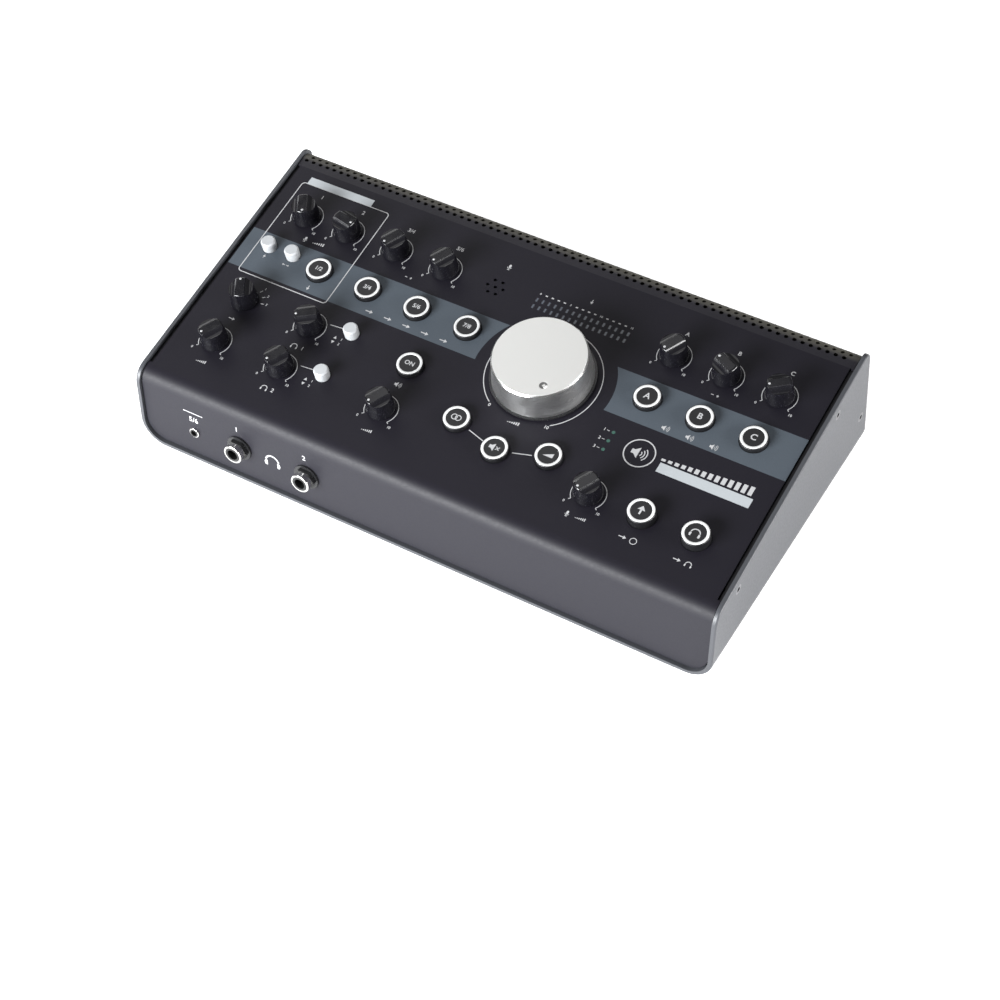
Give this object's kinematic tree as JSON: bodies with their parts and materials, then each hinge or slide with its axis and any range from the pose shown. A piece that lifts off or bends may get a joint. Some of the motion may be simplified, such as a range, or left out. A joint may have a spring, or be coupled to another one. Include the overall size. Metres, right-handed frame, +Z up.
{
  "type": "studio monitor controller",
  "caption": "Desktop studio monitor controller: a sloped panel with knobs, lit push buttons and a large turned volume knob in a U-shaped shell, with jacks at the front and rear.",
  "frame": {"origin": "middle of the underside's outline on the desk, under the rubber feet", "axes": "+X to the user's right, +Y to the rear, +Z up"},
  "size_m": [0.358, 0.1946, 0.0902],
  "materials": {
    "shell_paint": "fine textured grey paint",
    "panel_paint": "satin textured charcoal paint",
    "vent_paint": "satin textured charcoal paint",
    "turned_aluminium": "satin turned with a bright bevel",
    "knob_plastic": "fine matt moulding",
    "cap_plastic": "smooth satin moulding",
    "push_plastic": "smooth off-white moulding",
    "meter_lens": "smoked clear lens",
    "collar_black": "black satin",
    "ferrule_chrome": "bright plated",
    "nut_nickel": "nickel plated",
    "jack_plastic": "glass-filled moulding",
    "switch_plastic": "moulded",
    "rocker_plastic": "moulded",
    "ribbon_plastic": "ribbed grey ribbon",
    "circuit_board": "solder mask over laminate",
    "zinc_steel": "black zinc plated",
    "screw_steel": "dark plated hex socket screws",
    "foot_rubber": "matt moulded rubber"
  },
  "bodies": {
    "root": {"outer_shell": "shell_paint", "top_panel": "panel_paint", "vent_cover": "vent_paint", "rear_panel": "panel_paint", "side_brackets": "zinc_steel", "main_board": "circuit_board", "base_board": "circuit_board", "jack_boards": "circuit_board", "board_fixings": "zinc_steel", "case_screws": "screw_steel", "rubber_feet": "foot_rubber", "ribbon_lead": "ribbon_plastic", "pot_bodies": "zinc_steel", "key_switches": "switch_plastic", "meter_windows": "meter_lens", "meter_block": "switch_plastic", "talkback_mic": "foot_rubber", "line_jacks": "jack_plastic", "line_jack_nuts": "nut_nickel", "combo_sockets": "jack_plastic", "usb_socket": "nut_nickel", "power_inlet": "jack_plastic", "power_switch": "switch_plastic", "phone_jacks": "jack_plastic", "phone_jack_collars": "collar_black", "jack_ferrules": "ferrule_chrome", "mini_jack": "jack_plastic"},
    "volume": {"volume_knob": "turned_aluminium", "volume_core": "collar_black"},
    "power_rocker": {"power_rocker": "rocker_plastic"},
    "gain_1_knob": {"gain_1_knob": "knob_plastic"},
    "gain_2_knob": {"gain_2_knob": "knob_plastic"},
    "trim_34_knob": {"trim_34_knob": "knob_plastic"},
    "trim_56_knob": {"trim_56_knob": "knob_plastic"},
    "trim_a_knob": {"trim_a_knob": "knob_plastic"},
    "trim_b_knob": {"trim_b_knob": "knob_plastic"},
    "trim_c_knob": {"trim_c_knob": "knob_plastic"},
    "cue_knob": {"cue_knob": "knob_plastic"},
    "direct_knob": {"direct_knob": "knob_plastic"},
    "phones_1_knob": {"phones_1_knob": "knob_plastic"},
    "phones_2_knob": {"phones_2_knob": "knob_plastic"},
    "studio_knob": {"studio_knob": "knob_plastic"},
    "talkback_knob": {"talkback_knob": "knob_plastic"},
    "source_12_button": {"source_12_button": "cap_plastic"},
    "source_34_button": {"source_34_button": "cap_plastic"},
    "source_56_button": {"source_56_button": "cap_plastic"},
    "source_usb_button": {"source_usb_button": "cap_plastic"},
    "monitor_a_button": {"monitor_a_button": "cap_plastic"},
    "monitor_b_button": {"monitor_b_button": "cap_plastic"},
    "monitor_c_button": {"monitor_c_button": "cap_plastic"},
    "studio_button": {"studio_button": "cap_plastic"},
    "mono_button": {"mono_button": "cap_plastic"},
    "mute_button": {"mute_button": "cap_plastic"},
    "dim_button": {"dim_button": "cap_plastic"},
    "talk_track_button": {"talk_track_button": "cap_plastic"},
    "talk_cue_button": {"talk_cue_button": "cap_plastic"},
    "phantom_push": {"phantom_push": "push_plastic"},
    "stereo_push": {"stereo_push": "push_plastic"},
    "phones_1_push": {"phones_1_push": "push_plastic"},
    "phones_2_push": {"phones_2_push": "push_plastic"}
  },
  "joints": [
    {"name": "volume_turn", "type": "hinge", "parent": "root", "child": "volume", "pos_m": [0.0289, 0.00055, 0.06746], "axis": [0, -0.1754, 0.9845], "range_deg": [0, 290]},
    {"name": "gain_1_turn", "type": "hinge", "parent": "root", "child": "gain_1_knob", "pos_m": [-0.1494, 0.04073, 0.07462], "axis": [0, -0.1754, 0.9845], "range_deg": [0, 300]},
    {"name": "gain_2_turn", "type": "hinge", "parent": "root", "child": "gain_2_knob", "pos_m": [-0.1213, 0.04073, 0.07462], "axis": [0, -0.1754, 0.9845], "range_deg": [-49, 251]},
    {"name": "trim_34_turn", "type": "hinge", "parent": "root", "child": "trim_34_knob", "pos_m": [-0.089, 0.04073, 0.07462], "axis": [0, -0.1754, 0.9845], "range_deg": [-300, 0]},
    {"name": "trim_56_turn", "type": "hinge", "parent": "root", "child": "trim_56_knob", "pos_m": [-0.0567, 0.04073, 0.07462], "axis": [0, -0.1754, 0.9845], "range_deg": [-300, 0]},
    {"name": "trim_a_turn", "type": "hinge", "parent": "root", "child": "trim_a_knob", "pos_m": [0.0864, 0.04073, 0.07462], "axis": [0, -0.1754, 0.9845], "range_deg": [-300, 0]},
    {"name": "trim_b_turn", "type": "hinge", "parent": "root", "child": "trim_b_knob", "pos_m": [0.1174, 0.04073, 0.07462], "axis": [0, -0.1754, 0.9845], "range_deg": [-214, 86]},
    {"name": "trim_c_turn", "type": "hinge", "parent": "root", "child": "trim_c_knob", "pos_m": [0.1484, 0.04073, 0.07462], "axis": [0, -0.1754, 0.9845], "range_deg": [-274, 26]},
    {"name": "cue_turn", "type": "hinge", "parent": "root", "child": "cue_knob", "pos_m": [-0.1494, -0.02356, 0.06316], "axis": [0, -0.1754, 0.9845], "range_deg": [-180, 120]},
    {"name": "direct_turn", "type": "hinge", "parent": "root", "child": "direct_knob", "pos_m": [-0.1494, -0.05369, 0.0578], "axis": [0, -0.1754, 0.9845], "range_deg": [-300, 0]},
    {"name": "phones_1_turn", "type": "hinge", "parent": "root", "child": "phones_1_knob", "pos_m": [-0.1058, -0.02356, 0.06316], "axis": [0, -0.1754, 0.9845], "range_deg": [-273, 27]},
    {"name": "phones_2_turn", "type": "hinge", "parent": "root", "child": "phones_2_knob", "pos_m": [-0.1058, -0.05369, 0.0578], "axis": [0, -0.1754, 0.9845], "range_deg": [-300, 0]},
    {"name": "studio_turn", "type": "hinge", "parent": "root", "child": "studio_knob", "pos_m": [-0.0403, -0.05369, 0.0578], "axis": [0, -0.1754, 0.9845], "range_deg": [-300, 0]},
    {"name": "talkback_turn", "type": "hinge", "parent": "root", "child": "talkback_knob", "pos_m": [0.0864, -0.05369, 0.0578], "axis": [0, -0.1754, 0.9845], "range_deg": [-300, 0]},
    {"name": "source_12_press", "type": "slide", "parent": "root", "child": "source_12_button", "axis": [0, 0.1754, -0.9845], "range_m": [0, 0.0012], "stiffness_N_per_m": 300, "springref_m": -0.001},
    {"name": "source_34_press", "type": "slide", "parent": "root", "child": "source_34_button", "axis": [0, 0.1754, -0.9845], "range_m": [0, 0.0012], "stiffness_N_per_m": 300, "springref_m": -0.001},
    {"name": "source_56_press", "type": "slide", "parent": "root", "child": "source_56_button", "axis": [0, 0.1754, -0.9845], "range_m": [0, 0.0012], "stiffness_N_per_m": 300, "springref_m": -0.001},
    {"name": "source_usb_press", "type": "slide", "parent": "root", "child": "source_usb_button", "axis": [0, 0.1754, -0.9845], "range_m": [0, 0.0012], "stiffness_N_per_m": 300, "springref_m": -0.001},
    {"name": "monitor_a_press", "type": "slide", "parent": "root", "child": "monitor_a_button", "axis": [0, 0.1754, -0.9845], "range_m": [0, 0.0012], "stiffness_N_per_m": 300, "springref_m": -0.001},
    {"name": "monitor_b_press", "type": "slide", "parent": "root", "child": "monitor_b_button", "axis": [0, 0.1754, -0.9845], "range_m": [0, 0.0012], "stiffness_N_per_m": 300, "springref_m": -0.001},
    {"name": "monitor_c_press", "type": "slide", "parent": "root", "child": "monitor_c_button", "axis": [0, 0.1754, -0.9845], "range_m": [0, 0.0012], "stiffness_N_per_m": 300, "springref_m": -0.001},
    {"name": "studio_press", "type": "slide", "parent": "root", "child": "studio_button", "axis": [0, 0.1754, -0.9845], "range_m": [0, 0.0012], "stiffness_N_per_m": 300, "springref_m": -0.001},
    {"name": "mono_press", "type": "slide", "parent": "root", "child": "mono_button", "axis": [0, 0.1754, -0.9845], "range_m": [0, 0.0012], "stiffness_N_per_m": 300, "springref_m": -0.001},
    {"name": "mute_press", "type": "slide", "parent": "root", "child": "mute_button", "axis": [0, 0.1754, -0.9845], "range_m": [0, 0.0012], "stiffness_N_per_m": 300, "springref_m": -0.001},
    {"name": "dim_press", "type": "slide", "parent": "root", "child": "dim_button", "axis": [0, 0.1754, -0.9845], "range_m": [0, 0.0012], "stiffness_N_per_m": 300, "springref_m": -0.001},
    {"name": "talk_track_press", "type": "slide", "parent": "root", "child": "talk_track_button", "axis": [0, 0.1754, -0.9845], "range_m": [0, 0.0012], "stiffness_N_per_m": 300, "springref_m": -0.001},
    {"name": "talk_cue_press", "type": "slide", "parent": "root", "child": "talk_cue_button", "axis": [0, 0.1754, -0.9845], "range_m": [0, 0.0012], "stiffness_N_per_m": 300, "springref_m": -0.001},
    {"name": "phantom_push_press", "type": "slide", "parent": "root", "child": "phantom_push", "axis": [0, 0.1754, -0.9845], "range_m": [0, 0.0025], "stiffness_N_per_m": 300, "springref_m": -0.001},
    {"name": "stereo_push_press", "type": "slide", "parent": "root", "child": "stereo_push", "axis": [0, 0.1754, -0.9845], "range_m": [0, 0.0025], "stiffness_N_per_m": 300, "springref_m": -0.001},
    {"name": "phones_1_push_press", "type": "slide", "parent": "root", "child": "phones_1_push", "axis": [0, 0.1754, -0.9845], "range_m": [0, 0.0025], "stiffness_N_per_m": 300, "springref_m": -0.001},
    {"name": "phones_2_push_press", "type": "slide", "parent": "root", "child": "phones_2_push", "axis": [0, 0.1754, -0.9845], "range_m": [0, 0.0025], "stiffness_N_per_m": 300, "springref_m": -0.001},
    {"name": "power_rocker_tilt", "type": "hinge", "parent": "root", "child": "power_rocker", "pos_m": [0.15, 0.08783, 0.04063], "axis": [1, 0, 0], "range_deg": [0, 14]}
  ]
}
